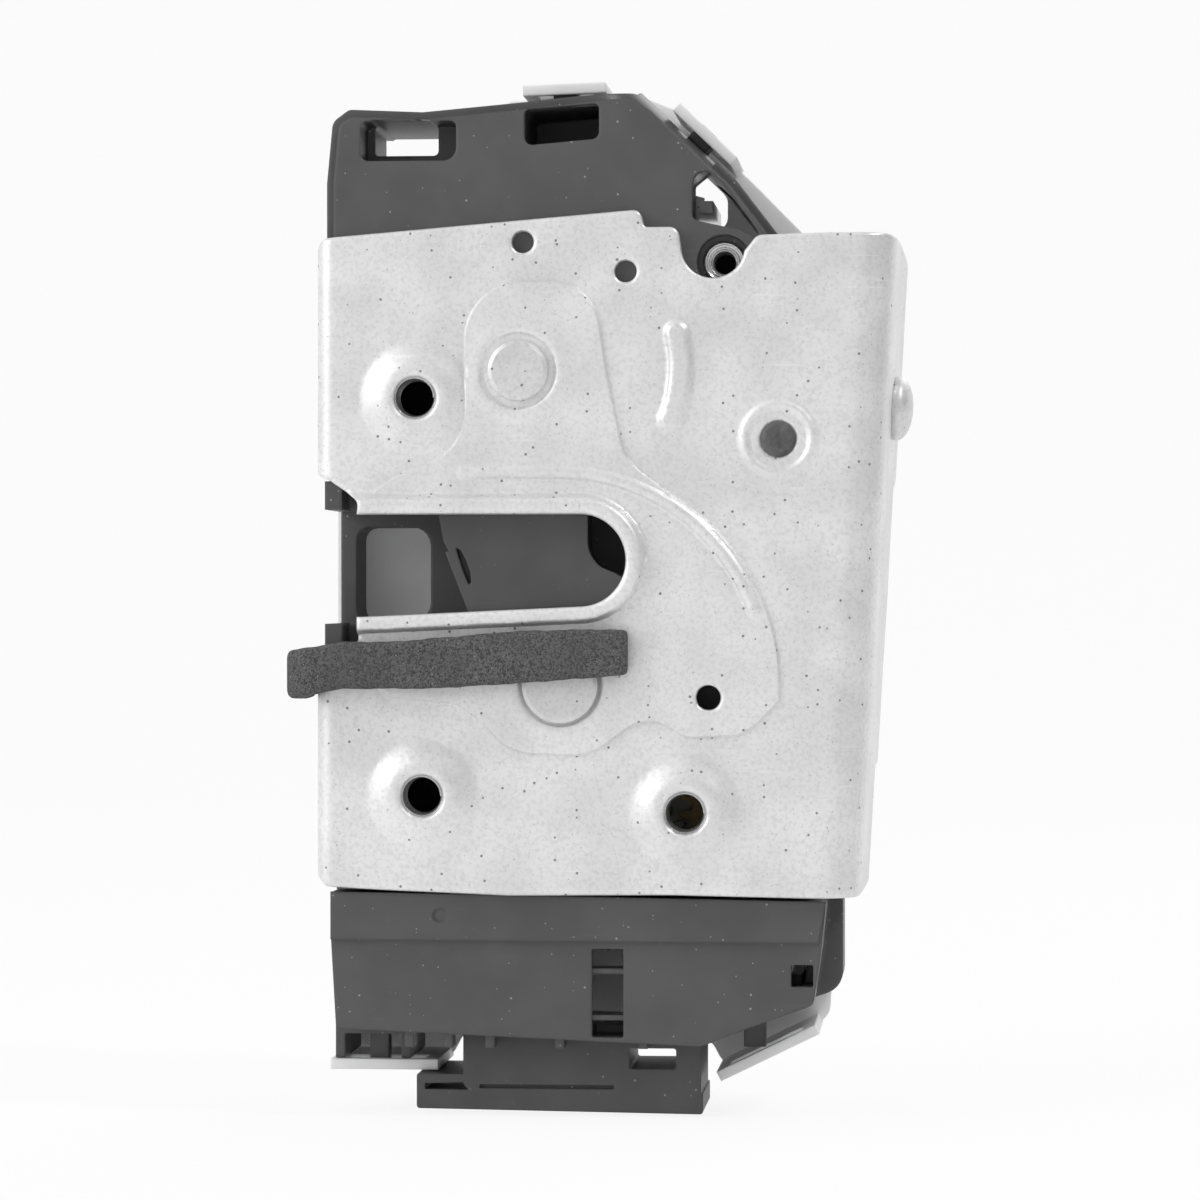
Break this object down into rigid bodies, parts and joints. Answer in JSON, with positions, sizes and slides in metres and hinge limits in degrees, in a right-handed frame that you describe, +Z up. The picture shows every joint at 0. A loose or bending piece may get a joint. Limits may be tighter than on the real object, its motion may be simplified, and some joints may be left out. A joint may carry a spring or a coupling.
{
  "type": "car door latch",
  "caption": "Side door latch with a steel latch plate, striker slot, claw and pawl, release levers, motor lock drive, black housings and a white rear cover.",
  "frame": {"origin": "mouth of the lower left fixing hole, in the plane of the fixing rims that lies on the door end panel", "axes": "+Z up in the door, +X towards the side flange, -Y towards the door end panel and the striker"},
  "size_m": [0.0966, 0.0487, 0.161],
  "materials": {
    "zinc_plate": "bright zinc plating on pressed sheet",
    "inner_steel": "plain zinc plating",
    "rivet_steel": "turned and headed",
    "bush_steel": "bright turned",
    "housing_black": "satin moulded",
    "cover_white": "smooth moulded",
    "foam_grey": "open grained foam",
    "rubber_black": "smooth",
    "claw_steel": "hardened",
    "claw_skin": "satin moulded",
    "spring_steel": "drawn wire",
    "lever_steel": "zinc plated",
    "gear_plastic": "natural acetal",
    "slide_plastic": "acetal",
    "motor_steel": "drawn steel",
    "key_zinc": "die cast zinc",
    "switch_red": "moulded",
    "contact_copper": "stamped",
    "screw_steel": "zinc plated"
  },
  "bodies": {
    "frame": {"latch_plate": "zinc_plate", "back_plate": "inner_steel", "claw_pin": "rivet_steel", "pawl_pin": "rivet_steel", "tie_rivet": "rivet_steel", "flange_rivet": "rivet_steel", "main_housing": "housing_black", "lower_housing": "housing_black", "rear_cover": "cover_white", "guide_rail": "housing_black", "foam_seal": "foam_grey", "threaded_bush": "bush_steel", "striker_buffer": "rubber_black", "claw_stop": "rubber_black", "pawl_stop": "rubber_black", "claw_spring": "spring_steel", "pawl_spring": "spring_steel", "lever_pin": "rivet_steel", "lever_pin_clip": "spring_steel", "lever_spacer": "gear_plastic", "wheel_axle": "rivet_steel", "motor_can": "motor_steel", "motor_cap": "housing_black", "ajar_switch": "switch_red", "connector_socket": "housing_black", "connector_pins": "contact_copper", "contact_strips": "contact_copper", "cover_screws": "screw_steel"},
    "claw": {"claw_core": "claw_steel", "claw_cover": "claw_skin"},
    "pawl": {"pawl_core": "claw_steel", "pawl_cover": "claw_skin", "pawl_release_pin": "rivet_steel"},
    "outside_lever": {"outside_lever": "lever_steel"},
    "inside_lever": {"inside_lever": "lever_steel"},
    "key_lever": {"key_lever": "key_zinc"},
    "lock_slide": {"lock_slide": "slide_plastic"},
    "worm_wheel": {"worm_wheel": "gear_plastic"},
    "motor_rotor": {"motor_shaft": "rivet_steel", "motor_worm": "gear_plastic"},
    "switch_plunger": {"switch_plunger": "gear_plastic"}
  },
  "joints": [
    {"name": "claw_turn", "type": "hinge", "parent": "frame", "child": "claw", "pos_m": [0.0214, 0.0074, 0.0171], "axis": [0, 1, 0], "range_deg": [0, 70], "stiffness_Nm_per_rad": 0.12, "springref_deg": -34.38},
    {"name": "pawl_turn", "type": "hinge", "parent": "frame", "child": "pawl", "pos_m": [0.0149, 0.0074, 0.0655], "axis": [0, -1, 0], "range_deg": [-14.5, 0]},
    {"name": "outside_lever_turn", "type": "hinge", "parent": "frame", "child": "outside_lever", "pos_m": [0.017, 0.0195, 0.079], "axis": [0, -1, 0], "range_deg": [0, 16], "stiffness_Nm_per_rad": 0.05, "springref_deg": -22.92},
    {"name": "inside_lever_turn", "type": "hinge", "parent": "frame", "child": "inside_lever", "pos_m": [0.017, 0.0229, 0.079], "axis": [0, -1, 0], "range_deg": [0, 16], "stiffness_Nm_per_rad": 0.05, "springref_deg": -22.92},
    {"name": "motor_spin", "type": "hinge", "parent": "frame", "child": "motor_rotor", "pos_m": [0.034, 0.0245, -0.02236], "axis": [1, 0, 0], "range_deg": [-2160, 0]},
    {"name": "wheel_spin", "type": "hinge", "parent": "frame", "child": "worm_wheel", "pos_m": [0.034, 0.0245, -0.008], "axis": [0, -1, 0], "range_deg": [0, 72]},
    {"name": "lock_travel", "type": "slide", "parent": "frame", "child": "lock_slide", "axis": [0, 0, 1], "range_m": [0, 0.00691]},
    {"name": "key_turn", "type": "hinge", "parent": "frame", "child": "key_lever", "pos_m": [0.0555, 0.025, 0.03], "axis": [0, 1, 0], "range_deg": [0, 43.79]},
    {"name": "plunger_travel", "type": "slide", "parent": "frame", "child": "switch_plunger", "axis": [0.9063, 0, 0.4226], "range_m": [0, 0.0012]}
  ],
  "couplings": [
    {"joint": "wheel_spin", "follows": "lock_travel", "rad_per_m": 181.82},
    {"joint": "motor_spin", "follows": "lock_travel", "rad_per_m": -5454.5},
    {"joint": "key_turn", "follows": "lock_travel", "rad_per_m": 110.56},
    {"joint": "plunger_travel", "follows": "claw_turn", "m_per_rad": 0.0009822}
  ]
}
